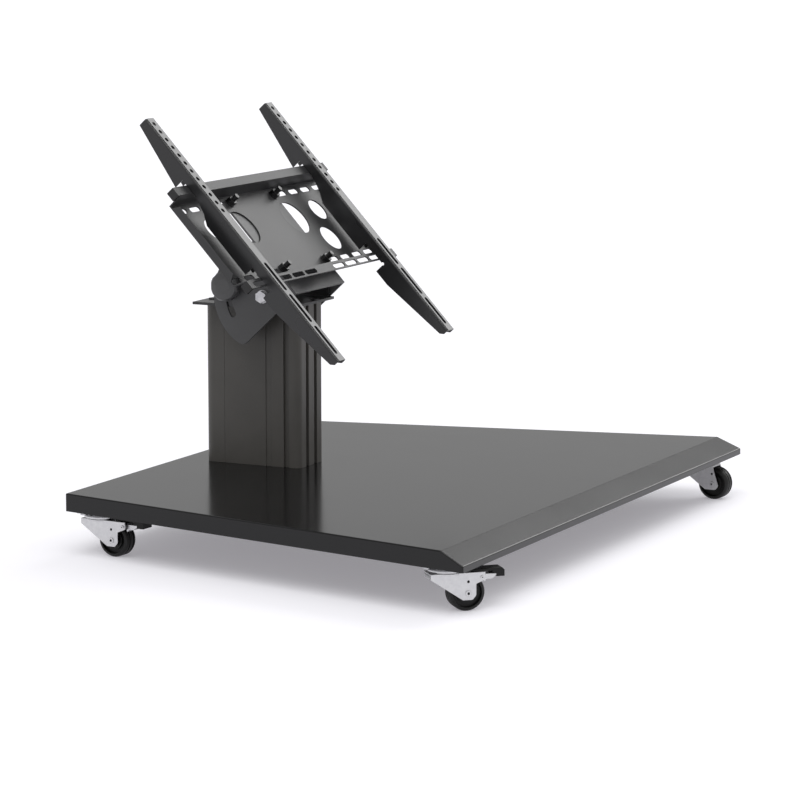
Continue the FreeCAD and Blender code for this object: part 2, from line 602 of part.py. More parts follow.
def make_tilt_bracket():
    body = new_body("tilt_bracket")
    back = depth("plate_depth + plate_sheet")
    outline = new_sketch(body, "YZ_Plane")
    tip = "sqrt(tilt_reach * tilt_reach - tilt_below * tilt_below)"
    crown = "sqrt(tilt_reach * tilt_reach - (%s) * (%s))" % (back, back)
    corners = [("-(head_face - plate_depth - plate_sheet)", "-tilt_below"), (tip, "-tilt_below"),
               (back, crown)]
    places = [FreeCAD.Vector(amount(y), amount(z), 0) for y, z in corners]
    reach = amount("tilt_reach")
    start = math.atan2(places[1].y, places[1].x)
    end = math.atan2(places[2].y, places[2].x)
    circle = Part.Circle(FreeCAD.Vector(), FreeCAD.Vector(0, 0, 1), reach)
    outline.addGeometry([Part.LineSegment(places[0], places[1]), Part.ArcOfCircle(circle, start, end),
                         Part.LineSegment(places[2], places[0])], False)
    for first, second in ((0, 1), (1, 2), (2, 0)):
        outline.addConstraint(Sketcher.Constraint("Coincident", first, 2, second, 1))
    pin_point(outline, 1, 3, "0", "0")
    limit = outline.addConstraint(Sketcher.Constraint("Radius", 1, reach))
    outline.setExpression("Constraints[%d]" % limit, words("tilt_reach"))
    pin_point(outline, 0, 1, *corners[0])
    level = outline.addConstraint(Sketcher.Constraint("DistanceY", -1, 1, 0, 2, places[1].y))
    outline.setExpression("Constraints[%d]" % level, words("-tilt_below"))
    outline.addConstraint(Sketcher.Constraint("Vertical", 2))
    full = "(%s) * 2" % TILT_SIDE
    pad(body, outline, full, symmetric=True)
    behind = amount("tilt_reach / 2")
    round_edges(body, "tilt_tip_round",
                lambda middle, along: abs(along.x) > STRAIGHT_SHARE and middle.y > behind)
    inner = new_sketch(body, "XY_Plane")
    wide = "bracket_wide / 2 + side_gap"
    draw_box(inner, "-(%s)" % wide, wide, back + " + tilt_sheet", "tilt_reach * 2")
    pocket(body, inner, symmetric=True)
    cross = new_sketch(body, "XZ_Plane", "-(%s)" % back)
    draw_box(cross, "-(%s)" % TILT_SIDE, TILT_SIDE, "-tilt_below", "tilt_above")
    pad(body, cross, "tilt_sheet", reverse=True)
    bores = new_sketch(body, "XZ_Plane", "-(%s)" % back)
    for sign in ("-", ""):
        for up in ("upper_bolt_up", "lower_bolt_up"):
            draw_circle(bores, sign + "plate_bolt_out", up, "plate_bolt_round + hole_clearance")
    pocket(body, bores, "tilt_sheet")
    windows = new_sketch(body, "YZ_Plane")
    draw_circle(windows, "0", "0", "pivot_round + running_gap")
    draw_arc_slot(windows, "lock_radius", "lock_slot_wide / 2", "lock_angle", "lock_angle + most_tilt")
    pocket(body, windows, symmetric=True)
    head(body, "tilt_bracket")


def draw_arc_slot(sketch, radius, half, start, end):
    """A curved slot about the sketch's origin, with round ends at two angles."""
    low = math.radians(amount(start))
    high = math.radians(amount(end))
    middle = amount(radius)
    wide = amount(half)
    normal = FreeCAD.Vector(0, 0, 1)
    origin = FreeCAD.Vector()
    ends = [FreeCAD.Vector(middle * math.cos(a), middle * math.sin(a), 0) for a in (low, high)]
    first = sketch.GeometryCount
    outer = Part.ArcOfCircle(Part.Circle(origin, normal, middle + wide), low, high)
    cap_high = Part.ArcOfCircle(Part.Circle(ends[1], normal, wide), high, high + math.pi)
    inner = Part.ArcOfCircle(Part.Circle(origin, normal, middle - wide), low, high)
    cap_low = Part.ArcOfCircle(Part.Circle(ends[0], normal, wide), low + math.pi, low + 2 * math.pi)
    sketch.addGeometry([outer, cap_high, inner, cap_low], False)
    for joint in ((0, 2, 1, 1), (1, 2, 2, 2), (2, 1, 3, 1), (3, 2, 0, 1)):
        one, one_end, two, two_end = joint
        sketch.addConstraint(Sketcher.Constraint("Tangent", first + one, one_end, first + two, two_end))
    pin_point(sketch, first, 3, "0", "0")
    pin_point(sketch, first + 1, 3, "(%s) * cos(%s)" % (radius, end), "(%s) * sin(%s)" % (radius, end))
    pin_point(sketch, first + 3, 3, "(%s) * cos(%s)" % (radius, start), "(%s) * sin(%s)" % (radius, start))
    limit = sketch.addConstraint(Sketcher.Constraint("Radius", first + 1, wide))
    sketch.setExpression("Constraints[%d]" % limit, words(half))


def make_wall_plate():
    body = new_body("wall_plate")
    section = new_sketch(body, "YZ_Plane")
    rear = "plate_depth + plate_sheet"
    lip = "bar_depth + plate_sheet"
    rise = "(plate_depth - bar_depth)"
    upper_mitre = "plate_sheet * tan(atan(%s / upper_web_run) / 2)" % rise
    lower_mitre = "plate_sheet * tan(atan(%s / lower_web_run) / 2)" % rise
    bar_low = "bar_down + bar_face"
    upper_bend = bar_low + " + upper_web_run"
    lower_bend = "lower_bar_down - lower_web_run"
    bar_end = "lower_bar_down + bar_face"
    fold = [("bar_depth", "bar_down"), ("bar_depth", bar_low), ("plate_depth", upper_bend),
            ("plate_depth", lower_bend), ("bar_depth", "lower_bar_down"), ("bar_depth", bar_end),
            (lip, bar_end), (lip, "lower_bar_down + " + lower_mitre),
            (rear, lower_bend + " + " + lower_mitre), (rear, upper_bend + " - " + upper_mitre),
            (lip, bar_low + " - " + upper_mitre), (lip, "bar_down")]
    draw_polygon(section, [(depth(back), down(low)) for back, low in fold])
    pad(body, section, "bar_long", symmetric=True)
    wall = new_sketch(body, "YZ_Plane", "bar_long / 2 - plate_sheet")
    root = "plate_depth + plate_sheet / 2"
    side = [("side_wall_depth", "side_wall_start + side_wall_slope"),
            ("side_wall_depth", "side_wall_end - side_wall_slope"),
            (root, "side_wall_end"), (root, "side_wall_start")]
    draw_polygon(wall, [(depth(back), down(low)) for back, low in side])
    flange = pad(body, wall, "plate_sheet")
    mirror(body, [flange])
    holes = new_sketch(body, "XZ_Plane")
    for sign in ("-", ""):
        for round_size, out, up in (("big_hole_round", "big_hole_out", "big_hole_up"),
                                    ("side_hole_round", "side_hole_out", "side_hole_up"),
                                    ("low_hole_round", "low_hole_out", "low_hole_up")):
            draw_circle(holes, sign + out, up, round_size)
        for up in ("upper_bolt_up", "lower_bolt_up"):
            draw_circle(holes, sign + "plate_bolt_out", up, "plate_bolt_round + hole_clearance")
    pocket(body, holes, symmetric=True)
    slots = new_sketch(body, "XZ_Plane")
    for sign in ("-", ""):
        for step in range(PLATE_SLOTS):
            out = "%s(plate_slot_out + plate_slot_pitch * %d)" % (sign, step)
            for up in ("upper_slot_up", "lower_slot_up"):
                draw_slot(slots, out, up, "plate_slot_long", "plate_slot_wide")
    pocket(body, slots, symmetric=True)
    bar = new_sketch(body, "XZ_Plane")
    for sign in ("-", ""):
        for step in range(BAR_SLOTS):
            out = "%s(bar_slot_out + bar_slot_pitch * %d)" % (sign, step)
            draw_slot(bar, out, down("bar_slot_down"), "bar_slot_long", "bar_slot_wide")
    pocket(body, bar, symmetric=True)
    head(body, "wall_plate")


def make_end_caps():
    caps = []
    for sign in ("-", ""):
        for low in ("bar_down", "lower_bar_down"):
            block = doc.addObject("Part::Box", "plug")
            bind(block, {"Length": "cap_long", "Width": "cap_thick", "Height": "cap_tall"})
            start = "bar_long / 2" if sign == "" else "-bar_long / 2 - cap_long"
            put(block, start, depth("bar_depth"), down(low + " + bar_face / 2 + cap_tall / 2"))
            caps.append(block)
    head(group(caps), "bar_end_caps")


def make_plate_fasteners():
    front = depth("plate_depth")
    back = depth("plate_depth + plate_sheet") + " + tilt_sheet"
    places = [(sign + "plate_bolt_out", up) for sign in ("-", "")
              for up in ("upper_bolt_up", "lower_bolt_up")]
    axis = (1, 0, 0)
    bolts = []
    washers = []
    nuts = []
    for x, up in places:
        grip = "bolt_stick_out + plate_sheet + tilt_sheet"
        bolts.append(fuse([rod("plate_bolt_round", grip, x, back, up, axis, "90"),
                           hexagon("bolt_head_flats", "bolt_head_tall", x, back + " + bolt_head_tall", up,
                                   axis, "90")]))
        washers.append(cut(rod("bolt_washer_round", "bolt_washer_thick", x, front, up, axis, "90"),
                           rod("plate_bolt_round + hole_clearance", "bolt_washer_thick", x,
                               front, up, axis, "90")))
        start = front + " - bolt_washer_thick"
        nuts.append(cut(hexagon("bolt_head_flats", "bolt_nut_tall", x, start, up, axis, "90"),
                        rod("plate_bolt_round", "bolt_nut_tall", x, start, up, axis, "90")))
    head(group(bolts), "plate_bolts")
    head(group(washers), "plate_washers")
    head(group(nuts), "plate_nuts")


def make_rail(name, sign):
    """A U-shaped rail: its side walls step in at the two bars and taper to both ends."""
    body = new_body(name)
    side = new_sketch(body, "YZ_Plane")
    outline = [("0", "-rail_above"), ("rail_end_depth", "-rail_above"), ("hook_depth", "hook_down"),
               ("notch_depth", "hook_down"), ("notch_depth", "notch_end"),
               ("knee_one_depth", "knee_one_down"), ("knee_two_depth", "knee_two_down"),
               ("belly_depth", "belly_start"), ("belly_depth", "low_notch_start"),
               ("notch_depth", "low_notch_start"), ("notch_depth", "low_notch_end"),
               ("hook_depth", "low_notch_end"), ("hook_depth", "tail_start"), ("tail_depth", "tail_down"),
               ("tail_nose", "rail_bottom"), ("0", "rail_bottom")]
    draw_polygon(side, [(depth(back), down(low)) for back, low in outline])
    pad(body, side, "rail_wide", symmetric=True)
    face = amount(depth("rail_sheet"))
    round_edges(body, "rail_round", lambda middle, along: abs(along.z) > STRAIGHT_SHARE and middle.y < face)
    channel = new_sketch(body, "XY_Plane")
    inner = "rail_wide / 2 - rail_sheet"
    draw_box(channel, "-(%s)" % inner, inner, depth("rail_sheet"), "0")
    pocket(body, channel, symmetric=True)
    relief = new_sketch(body, "YZ_Plane")
    draw_circle(relief, depth("notch_depth"), down("low_notch_end - relief_round / 2"), "relief_round")
    pocket(body, relief, symmetric=True)
    # The left side wall's edge stands beside the front sheet, with a shallow seam between them.
    seam = new_sketch(body, "XZ_Plane", "head_face")
    draw_box(seam, "-(%s)" % inner, "rail_seam_wide - (%s)" % inner, down("rail_bottom"), down("-rail_above"))
    pocket(body, seam, "rail_seam_deep")
    hole = new_sketch(body, "XZ_Plane", "head_face")
    draw_circle(hole, "0", "top_hole_up", "rail_hole_round")
    first = pocket(body, hole, "rail_sheet * 2")
    holes = repeat(body, [first], hole, "V_Axis", "rail_hole_pitch", RAIL_HOLES)
    holes.Reversed = True
    doc.recompute()
    slots = new_sketch(body, "XZ_Plane", "head_face")
    for step in range(RAIL_SLOTS):
        middle = "rail_slot_first + rail_slot_long / 2 + rail_slot_pitch * %d" % step
        draw_slot(slots, "0", down(middle), "rail_slot_long", "rail_slot_wide", upright=True)
    pocket(body, slots, "rail_sheet * 2")
    put(body, sign + "rail_out", PIVOT_Y, PIVOT_Z, (-1, 0, 0), "rest_tilt")
    node(body, name)


# Casters: each is built with its swivel axis at its origin, X toward the wheel and the floor at Z = 0.
PLATE_UNDER = "rib_height - caster_plate_thick"
CROWN_UNDER = "fork_height - fork_sheet"
FORK_HALF = "fork_gap / 2 + fork_sheet"


def make_caster(place, x, y, heading, braked):
    def swivel(item, name):
        put(item, x, y, "0", (0, 0, 1), heading)
        return node(item, name + "_" + place)

    def lying(radius, length, out, up):
        """A rod across the fork, with its middle on the caster's centre plane."""
        return rod(radius, length, out, "(%s) / 2" % length, up, (1, 0, 0), "90")

    plate = new_body("caster_plate")
    square = new_sketch(plate, "XY_Plane", PLATE_UNDER)
    side = "caster_plate_side / 2"
    draw_box(square, "-" + side, side, "-" + side, side)
    for across in ("-", ""):
        for along in ("-", ""):
            draw_circle(square, across + "caster_hole_pitch / 2", along + "caster_hole_pitch / 2",
                        "caster_screw_round + hole_clearance")
    pad(plate, square, "caster_plate_thick")
    edge = amount("caster_plate_side / 2 - caster_plate_thick")
    round_edges(plate, "caster_plate_round", lambda middle, along: (
        abs(along.z) > STRAIGHT_SHARE and min(abs(middle.x), abs(middle.y)) > edge))
    stem = new_sketch(plate, "XY_Plane", PLATE_UNDER)
    draw_circle(stem, "0", "0", "kingpin_round")
    pad(plate, stem, "rib_height - caster_plate_thick - (%s) + washer_gap" % CROWN_UNDER, reverse=True)
    button = new_sketch(plate, "XY_Plane", CROWN_UNDER + " - washer_gap")
    draw_circle(button, "0", "0", "kingpin_head_round")
    pad(plate, button, "kingpin_head_tall", reverse=True)
    put(plate, x, y, "0", (0, 0, 1), "0")
    node(plate, "caster_plate_" + place)

    race = new_body("race")
    ring = new_sketch(race, "XZ_Plane")
    top = PLATE_UNDER + " - washer_gap"
    foot = "fork_height + race_foot"
    crest = foot + " + race_ring"
    draw_polygon(ring, [("race_bore", "fork_height"), ("race_neck", "fork_height"), ("race_neck", foot),
                        ("race_round - race_edge", foot), ("race_round", foot + " + race_edge"),
                        ("race_round", crest + " - race_edge"), ("race_round - race_edge", crest),
                        ("race_neck", crest), ("race_neck", top), ("race_bore", top)])
    turned = race.newObject("PartDesign::Revolution", "turning")
    turned.Profile = ring
    turned.ReferenceAxis = (ring, ["V_Axis"])
    turned.Angle = 360
    doc.recompute()
    swivel(race, "race")

    fork = new_body("fork")
    cheek = new_sketch(fork, "XZ_Plane")
    front = [("-fork_front", "fork_height"), ("-fork_front", "fork_height - fork_shoulder")]
    if braked:
        rear = [("nose_front", "wheel_round - nose_below"), ("nose_rear", "wheel_round - nose_below"),
                ("nose_out", "nose_out_up"), ("nose_out", "throat_up"), ("fork_rear", "jaw_up"),
                ("fork_rear", "fork_height")]
    else:
        rear = [("plain_nose_front", "wheel_round - nose_below"), ("nose_rear", "wheel_round - nose_below"),
                ("nose_out", "nose_out_up"), ("plain_rear", "fork_height")]
    draw_polygon(cheek, front + rear)
    pad(fork, cheek, "(%s) * 2" % FORK_HALF, symmetric=True)
    low = amount("wheel_round")
    round_edges(fork, "fork_round", lambda middle, along: abs(along.y) > STRAIGHT_SHARE and middle.z < low)
    room = new_sketch(fork, "XY_Plane", CROWN_UNDER)
    draw_box(room, "-fork_rear * 2", "fork_rear * 2", "-fork_gap / 2", "fork_gap / 2")
    pocket(fork, room, "fork_height")
    crown = new_sketch(fork, "XY_Plane", CROWN_UNDER)
    draw_circle(crown, "0", "0", "crown_round")
    pad(fork, crown, "fork_sheet")
    eye = new_sketch(fork, "XY_Plane", CROWN_UNDER)
    draw_circle(eye, "0", "0", "kingpin_round + running_gap")
    pocket(fork, eye, reverse=True)
    if braked:
        lever_room = new_sketch(fork, "XY_Plane", "fork_height")
        side = "lever_room_wide / 2"
        draw_box(lever_room, "lever_room_start", "fork_rear * 2", "-" + side, side)
        pocket(fork, lever_room, "fork_sheet")
    bores = new_sketch(fork, "XZ_Plane")
    draw_circle(bores, "trail", "wheel_round", "axle_round")
    if braked:
        draw_circle(bores, "brake_pin_out", "brake_pin_up", "brake_pin_round")
    draw_circle(bores, "trail", "wheel_round + dimple_up", "dimple_round")
    pocket(fork, bores, symmetric=True)
    swivel(fork, "fork")

    rods = [("axle_round", "axle_bore", "rivet_round", "trail", "wheel_round")]
    if braked:
        rods.append(("brake_pin_round", "brake_pin_bore", "brake_rivet_round",
                     "brake_pin_out", "brake_pin_up"))
    pins = []
    for radius, bore, rivet, out, up in rods:
        shank = lying(radius, "(%s) * 2" % FORK_HALF, out, up)
        ends = [rod(rivet, "rivet_tall", out, start, up, (1, 0, 0), "90")
                for start in ("-(%s)" % FORK_HALF, "(%s) + rivet_tall" % FORK_HALF)]
        hollow = lying(bore, "(%s + rivet_tall) * 2" % FORK_HALF, out, up)
        pins.append(cut(fuse([shank] + ends), hollow))
    swivel(group(pins), "pins")

    core = new_body("wheel_core")
    section = new_sketch(core, "XZ_Plane")
    tread_base = "wheel_round - tyre_thick"
    half_core = [("axle_round + running_gap", "hub_wide / 2"), ("hub_round", "hub_wide / 2"),
                 ("hub_round", "disc_wide / 2"), ("disc_round", "disc_wide / 2"),
                 ("disc_round", "web_wide / 2"), (tread_base, "web_wide / 2")]
    draw_polygon(section, half_core + [(out, "-" + up) for out, up in reversed(half_core)])
    turned = core.newObject("PartDesign::Revolution", "turning")
    turned.Profile = section
    turned.ReferenceAxis = (section, ["V_Axis"])
    turned.Angle = 360
    doc.recompute()

    tyre = new_body("tyre")
    section = new_sketch(tyre, "XZ_Plane")
    half = "tyre_wide / 2"
    tread = [(tread_base, "-" + half), ("wheel_round - tyre_corner", "-" + half),
             ("wheel_round - tyre_corner * corner_share", "-(%s - tyre_corner * corner_share)" % half),
             ("wheel_round", "-(%s - tyre_corner)" % half),
             ("wheel_round", "-(groove_out + groove_wide / 2)"),
             ("wheel_round - groove_bite", "-(groove_out + groove_wide / 2)"),
             ("wheel_round - groove_bite", "-(groove_out - groove_wide / 2)"),
             ("wheel_round", "-(groove_out - groove_wide / 2)")]
    flip = [(out, "-(%s)" % up) for out, up in reversed(tread)]
    draw_polygon(section, tread + flip)
    turned = tyre.newObject("PartDesign::Revolution", "turning")
    turned.Profile = section
    turned.ReferenceAxis = (section, ["V_Axis"])
    turned.Angle = 360
    doc.recompute()
    for piece, name in ((core, "wheel_core"), (tyre, "tyre")):
        lay_wheel(piece, x, y, heading)
        node(piece, name + "_" + place)
    if braked:
        make_brake(swivel)


def make_brake(swivel):
    """A pressed lever on its pin, with a pad above the tread, and its moulded cap."""
    lever = new_body("brake_lever")
    arm = new_sketch(lever, "XZ_Plane")
    under = "lever_height - lever_sheet"
    draw_polygon(arm, [("brake_pin_out", "lever_height"), ("brake_pin_out", under + " - lever_sheet"),
                       ("pad_out", "pad_root_up"), ("pad_out", "pad_up"),
                       ("pad_out + lever_sheet", "pad_up"), ("lever_knee_out", "lever_knee_up"),
                       ("lever_heel_out", "lever_knee_up"), ("lever_end", under),
                       ("lever_end", "lever_height")])
    pad(lever, arm, "lever_wide", symmetric=True)
    boss = new_sketch(lever, "XZ_Plane")
    draw_circle(boss, "brake_pin_out", "brake_pin_up", "lever_boss_round")
    pad(lever, boss, "lever_wide", symmetric=True)
    eye = new_sketch(lever, "XZ_Plane")
    draw_circle(eye, "brake_pin_out", "brake_pin_up", "brake_pin_round + running_gap")
    pocket(lever, eye, symmetric=True)
    swivel(lever, "brake_lever")

    cap = new_body("lever_cap")
    block = new_sketch(cap, "XZ_Plane")
    draw_polygon(block, [("strip_start", "strip_low"), ("strip_start", "cap_height"),
                         ("cap_end - cap_slope", "cap_height"), ("cap_end", "cap_height - cap_slope"),
                         ("cap_end", "cap_foot"), ("lever_end", "cap_foot"), ("lever_end", "lever_height"),
                         ("cap_start", "lever_height"), ("cap_start", "strip_low")])
    pad(cap, block, "cap_wide", symmetric=True)
    end = amount("(cap_wide - cap_round) / 2")
    high = amount("cap_height - cap_round")
    round_edges(cap, "cap_round", lambda middle, along: abs(middle.y) > end and middle.z > high)
    swivel(cap, "lever_cap")


def lay_wheel(piece, x, y, heading):
    """Lay a turned wheel part's axis across the fork and set it on the axle."""
    angle = math.radians(amount(heading))
    level = FreeCAD.Rotation(FreeCAD.Vector(math.cos(angle), math.sin(angle), 0), 90)
    piece.Placement = FreeCAD.Placement(FreeCAD.Vector(), level)
    bind(piece, {"Placement.Base.x": "%s + trail * cos(%s)" % (x, heading),
                 "Placement.Base.y": "%s + trail * sin(%s)" % (y, heading),
                 "Placement.Base.z": "wheel_round", "Placement.Rotation.Axis.x": "cos(%s)" % heading,
                 "Placement.Rotation.Axis.y": "sin(%s)" % heading})


# Where each caster swivels, which way it trails, and whether it has a brake.
CASTERS = {
    "front_left": ("-" + FRONT_CASTER_X, "tray_middle + " + FRONT_CASTER_Y, "front_left_heading", True),
    "front_right": (FRONT_CASTER_X, "tray_middle + " + FRONT_CASTER_Y, "front_right_heading", False),
    "rear_left": ("-" + REAR_CASTER_X, "tray_middle + " + REAR_CASTER_Y, "rear_left_heading", True),
    "rear_right": (REAR_CASTER_X, "tray_middle + " + REAR_CASTER_Y, "rear_right_heading", False),
}


def make_caster_fasteners():
    screws = []
    nuts = []
    for x, y, heading, braked in CASTERS.values():
        for across in ("-", "+"):
            for along in ("-", "+"):
                at_x = "%s %s caster_hole_pitch / 2" % (x, across)
                at_y = "%s %s caster_hole_pitch / 2" % (y, along)
                grip = "caster_plate_thick + rib_sheet + caster_nut_tall"
                screws.append(fuse([rod("caster_screw_round", grip, at_x, at_y, PLATE_UNDER),
                                    rod("caster_head_round", "caster_head_tall", at_x, at_y,
                                        PLATE_UNDER + " - caster_head_tall")]))
                seat = "rib_height + rib_sheet"
                nuts.append(cut(hexagon("caster_nut_flats", "caster_nut_tall", at_x, at_y, seat),
                                rod("caster_screw_round", "caster_nut_tall", at_x, at_y, seat)))
    node(group(screws), "caster_screws")
    node(group(nuts), "caster_nuts")


make_tray()
make_rib("front_rib", FRONT_CASTER_Y, FRONT_CASTER_X)
make_rib("rear_rib", REAR_CASTER_Y, REAR_CASTER_X)
make_backing_plate()
make_column()
make_column_screws()
make_top_bracket()
make_pivot_fasteners()
make_lock_fasteners()
make_knob("knob_right", "", "90")
make_knob("knob_left", "-", "-90")
make_tilt_bracket()
make_wall_plate()
make_end_caps()
make_plate_fasteners()
make_rail("rail_left", "-")
make_rail("rail_right", "")
for place, (x, y, heading, braked) in CASTERS.items():
    make_caster(place, x, y, heading, braked)
make_caster_fasteners()

doc.recompute()
for item in doc.Objects:
    if "Invalid" in item.State or "Error" in item.State:
        raise RuntimeError("%s did not build: %s" % (item.Label, item.State))
for item in NODES:
    if item.Shape.isNull() or not item.Shape.isValid() or not item.Shape.Solids:
        raise RuntimeError(item.Label + " has no valid shape")

os.makedirs("parts", exist_ok=True)
for item in NODES:
    item.Shape.exportStep("parts/%s.step" % item.Label)
whole = FreeCAD.BoundBox()
for item in NODES:
    whole.add(item.Shape.BoundBox)
print("nodes", len(NODES), "box", [round(value, 2) for value in (
    whole.XMin, whole.XMax, whole.YMin, whole.YMax, whole.ZMin, whole.ZMax)])
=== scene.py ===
"""Looks of a mobile monitor stand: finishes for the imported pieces, a stage and a camera."""

import math

import bpy
from mathutils import Euler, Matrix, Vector

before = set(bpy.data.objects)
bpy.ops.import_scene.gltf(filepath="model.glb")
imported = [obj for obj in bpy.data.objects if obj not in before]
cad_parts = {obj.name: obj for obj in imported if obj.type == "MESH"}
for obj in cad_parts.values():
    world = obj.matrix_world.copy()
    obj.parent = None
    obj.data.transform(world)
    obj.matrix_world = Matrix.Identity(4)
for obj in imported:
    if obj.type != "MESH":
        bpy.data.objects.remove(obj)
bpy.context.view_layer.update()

bl_info = {
    "name": "Mobile Monitor Stand",
    "version": (1, 0, 0),
    "blender": (4, 5, 0),
    "location": "View3D > Sidebar > Stand",
    "description": "Finishes a wheeled monitor stand and sets its stage",
    "category": "Object",
}

MM = 0.001

# Where a pattern's darker and lighter tones begin, and how far a coat's and a moulding's tones differ.
TONE_STOPS = (0.3, 0.7)
COAT_LEVELS = (0.9, 1.1)
MOULD_LEVELS = (0.8, 1.2)

# Widths of the coat's faint clouds and of the zinc bath's streaks, how high a grain stands for its
# width, and how many rays round an edge.
CLOUD_WIDE = 90 * MM
STREAK_WIDE = 7 * MM
RELIEF_SHARE = 0.1
BEVEL_RAYS = 6

# What all mouldings share, and how far the zinc's brighter and duller patches part in roughness.
PLASTIC_IOR = 1.49
MOULD_SPREAD = 0.05
MOULD_BUMP = 0.25
ZINC_GLOSSIER = 0.07
ZINC_DULLER = 0.09

# The camera's sensor in millimetres, its far limit and half the floor in metres, and the floor's dullness.
SENSOR_WIDE = 36
FAR_CLIP = 200
FLOOR_HALF = 60
FLOOR_ROUGHNESS = 0.9

# Soft suns: name, heading that the light comes from (degrees from +Y toward +X), height in degrees,
# strength, and how wide the sun looks in degrees.
SUNS = (
    ("key_light", -95, 62, 1.2, 50),
    ("fill_light", -140, 40, 0.25, 60),
    ("rim_light", 104, 34, 1.0, 36),
)


def linear(hex_colour):
    """A colour written as sRGB hex, as the linear values that the shaders read."""
    channels = [int(hex_colour[start:start + 2], 16) / 255 for start in (1, 3, 5)]
    return tuple(c / 12.92 if c <= 0.04045 else ((c + 0.055) / 1.055) ** 2.4 for c in channels) + (1.0,)


def shaded(hex_colour, level):
    """A colour made darker or lighter by a share, as linear values."""
    return tuple(min(1.0, channel * level) for channel in linear(hex_colour)[:3]) + (1.0,)


def nodes_named(*starts):
    """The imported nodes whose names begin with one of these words."""
    return [piece for name, piece in sorted(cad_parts.items()) if name.startswith(starts)]


class StandFinish(bpy.types.PropertyGroup):
    """Colours and grain of the stand's finishes."""
    tray_colour: bpy.props.StringProperty(
        name="Tray colour", description="Gloss powder coat of the tray, as sRGB hex", default="#0d0d0e")
    head_colour: bpy.props.StringProperty(
        name="Head colour", description="Textured powder coat of the head, as sRGB hex", default="#2e2e2f")
    # The tilt bracket wears the head's textured coat; this lighter copy of its colour is painted light on the
    # bracket's cheeks.
    lit_bracket_colour: bpy.props.StringProperty(
        name="Bracket colour", description="Textured powder coat of the tilt bracket, as sRGB hex",
        default="#474748")
    # The rails and the top bracket wear the head's textured coat; this darker copy of its colour is painted
    # shade on the rails' sides.
    shaded_rail_colour: bpy.props.StringProperty(
        name="Rail colour", description="Textured powder coat of the rails, as sRGB hex", default="#222223")
    column_colour: bpy.props.StringProperty(
        name="Column colour", description="Satin coat of the column, as sRGB hex", default="#4a4845")
    zinc_colour: bpy.props.StringProperty(
        name="Zinc colour", description="Bright zinc plating of the casters, as sRGB hex", default="#d2d2d3")
    zinc_shade: bpy.props.StringProperty(
        name="Zinc shade", description="Cloudier patches of the zinc plating, as sRGB hex", default="#c4c4c6")
    bolt_shade: bpy.props.StringProperty(
        name="Bolt shade", description="Cloudier patches of the bolts' plating, as sRGB hex",
        default="#a4a4a7")
    oxide_colour: bpy.props.StringProperty(
        name="Oxide colour", description="Black oxide of the dark bolts, as sRGB hex", default="#1c1c1d")
    cap_colour: bpy.props.StringProperty(
        name="Cap colour", description="Moulded end caps of the bars, as sRGB hex", default="#161616")
    knob_colour: bpy.props.StringProperty(
        name="Knob colour", description="Moulded clamping knobs, as sRGB hex", default="#4c4c4d")
    wheel_colour: bpy.props.StringProperty(
        name="Wheel colour", description="Moulded wheels and lever caps, as sRGB hex", default="#090909")
    tyre_colour: bpy.props.StringProperty(
        name="Tyre colour", description="Moulded rubber of the tyres, as sRGB hex", default="#0c0c0c")
    # Real coats and mouldings have a grain of about 0.3 mm, too fine to show, so it is drawn coarser.
    grain: bpy.props.FloatProperty(
        name="Grain", description="Width of the grain in the coats and mouldings", default=1.2 * MM,
        unit="LENGTH")
    edge_round: bpy.props.FloatProperty(
        name="Edge rounding", description="Rounding that the coat leaves on sheet edges",
        default=0.7 * MM, unit="LENGTH")


class StandStage(bpy.types.PropertyGroup):
    """The camera, the room and the floor."""
    camera_place: bpy.props.FloatVectorProperty(
        name="Camera place", description="Where the camera stands", default=(-4.5604, -2.2275, 0.9885),
        subtype="TRANSLATION")
    camera_heading: bpy.props.FloatProperty(
        name="Camera heading", description="Turn from +Y toward +X", default=math.radians(63.936),
        subtype="ANGLE")
    camera_drop: bpy.props.FloatProperty(
        name="Camera drop", description="How far the camera looks down", default=math.radians(8.848),
        subtype="ANGLE")
    camera_lens: bpy.props.FloatProperty(
        name="Lens", description="Focal length on a 36 mm wide sensor", default=156.62, unit="CAMERA")
    world_level: bpy.props.FloatProperty(
        name="World level", description="Brightness of the room around the stand", default=0.55)
    floor_colour: bpy.props.StringProperty(
        name="Floor colour", description="Colour of the plain floor, as sRGB hex", default="#dfdfe2")
    floor_glow: bpy.props.FloatProperty(
        name="Floor glow", description="Paleness of the floor's shadows, where 1 is white", default=0.29)
    shadow_tint: bpy.props.StringProperty(
        name="Shadow tint", description="Tint of the floor's pale shadows, as sRGB hex", default="#fbf8ff")


def add_node(tree, kind, place, links=(), **settings):
    """Add one shader node: settings by attribute or input name, links as (input, source socket)."""
    made = tree.nodes.new(kind)
    made.location = place
    for name, value in settings.items():
        if hasattr(made, name):
            setattr(made, name, value)
        else:
            made.inputs[name.replace("_", " ")].default_value = value
    for name, source in links:
        tree.links.new(source, made.inputs[name])
    return made


def new_finish(name):
    """An empty node material and its shader."""
    finish = bpy.data.materials.new(name)
    finish.use_nodes = True
    tree = finish.node_tree
    shader = tree.nodes["Principled BSDF"]
    return finish, tree, shader


